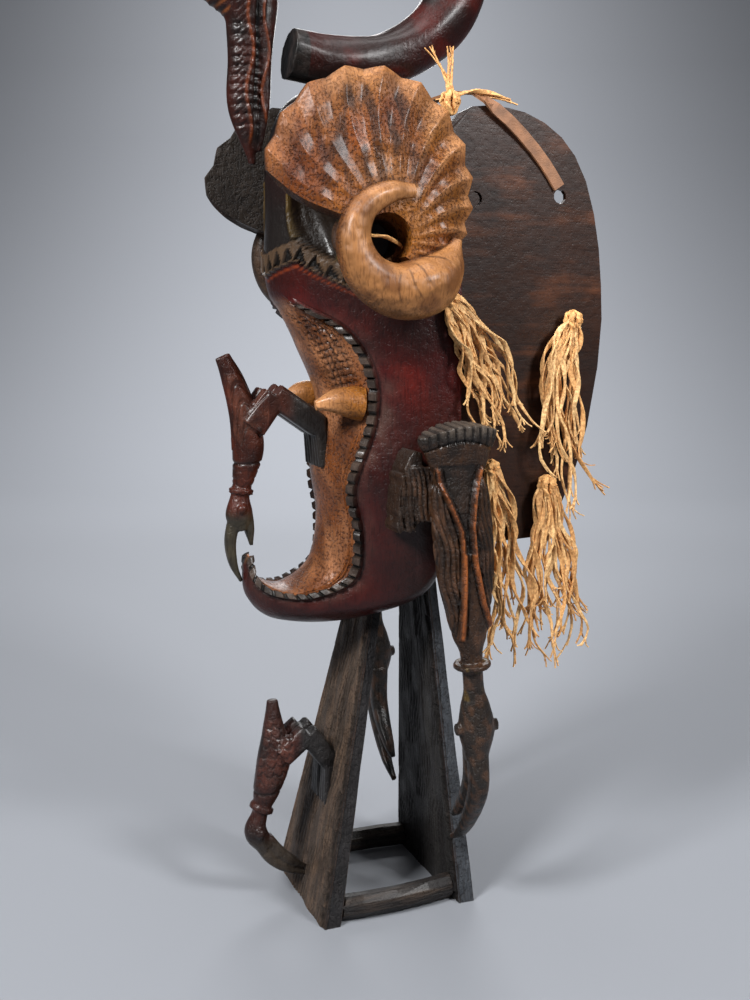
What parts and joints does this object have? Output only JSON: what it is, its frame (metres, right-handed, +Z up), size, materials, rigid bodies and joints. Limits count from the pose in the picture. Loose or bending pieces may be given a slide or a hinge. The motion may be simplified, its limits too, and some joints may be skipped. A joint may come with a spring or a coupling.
{
  "type": "hornbill mask",
  "caption": "Tall carved helmet mask of a spirit with ram's horn ears, clinging hornbills, a curved hornbill crest and raffia tassels, standing on its own boards.",
  "frame": {"origin": "on the floor, in the middle of the front board's underside", "axes": "+Z up, the face looks along -Y, +X is the mask's own left"},
  "size_m": [0.291, 0.3625, 0.9937],
  "materials": {
    "red_wood": "dark red paint over carved wood, worn and glossy",
    "ochre_wood": "ochre stained carved wood, glossy",
    "brown_wood": "dark brown carved wood, semi-gloss",
    "board_wood": "grey brown hewn wood, dry",
    "sheet_wood": "smooth dark brown sheet of wood",
    "leather": "tan leather, worn",
    "raffia": "twisted straw-coloured raffia"
  },
  "bodies": {
    "root": {"head": "red_wood", "left_ear": "ochre_wood", "right_ear": "ochre_wood", "crest": "red_wood", "mouth_hornbill": "red_wood", "board_hornbill": "brown_wood", "left_hornbill": "brown_wood", "right_hornbill": "brown_wood", "front_board": "board_wood", "back_board": "board_wood", "left_rung": "board_wood", "right_rung": "board_wood", "left_side_board": "sheet_wood", "right_side_board": "sheet_wood", "strap": "leather", "left_tassel_ear": "raffia", "left_tassel_rear": "raffia", "left_tassel_middle": "raffia", "left_tassel_front": "raffia"}
  },
  "joints": []
}
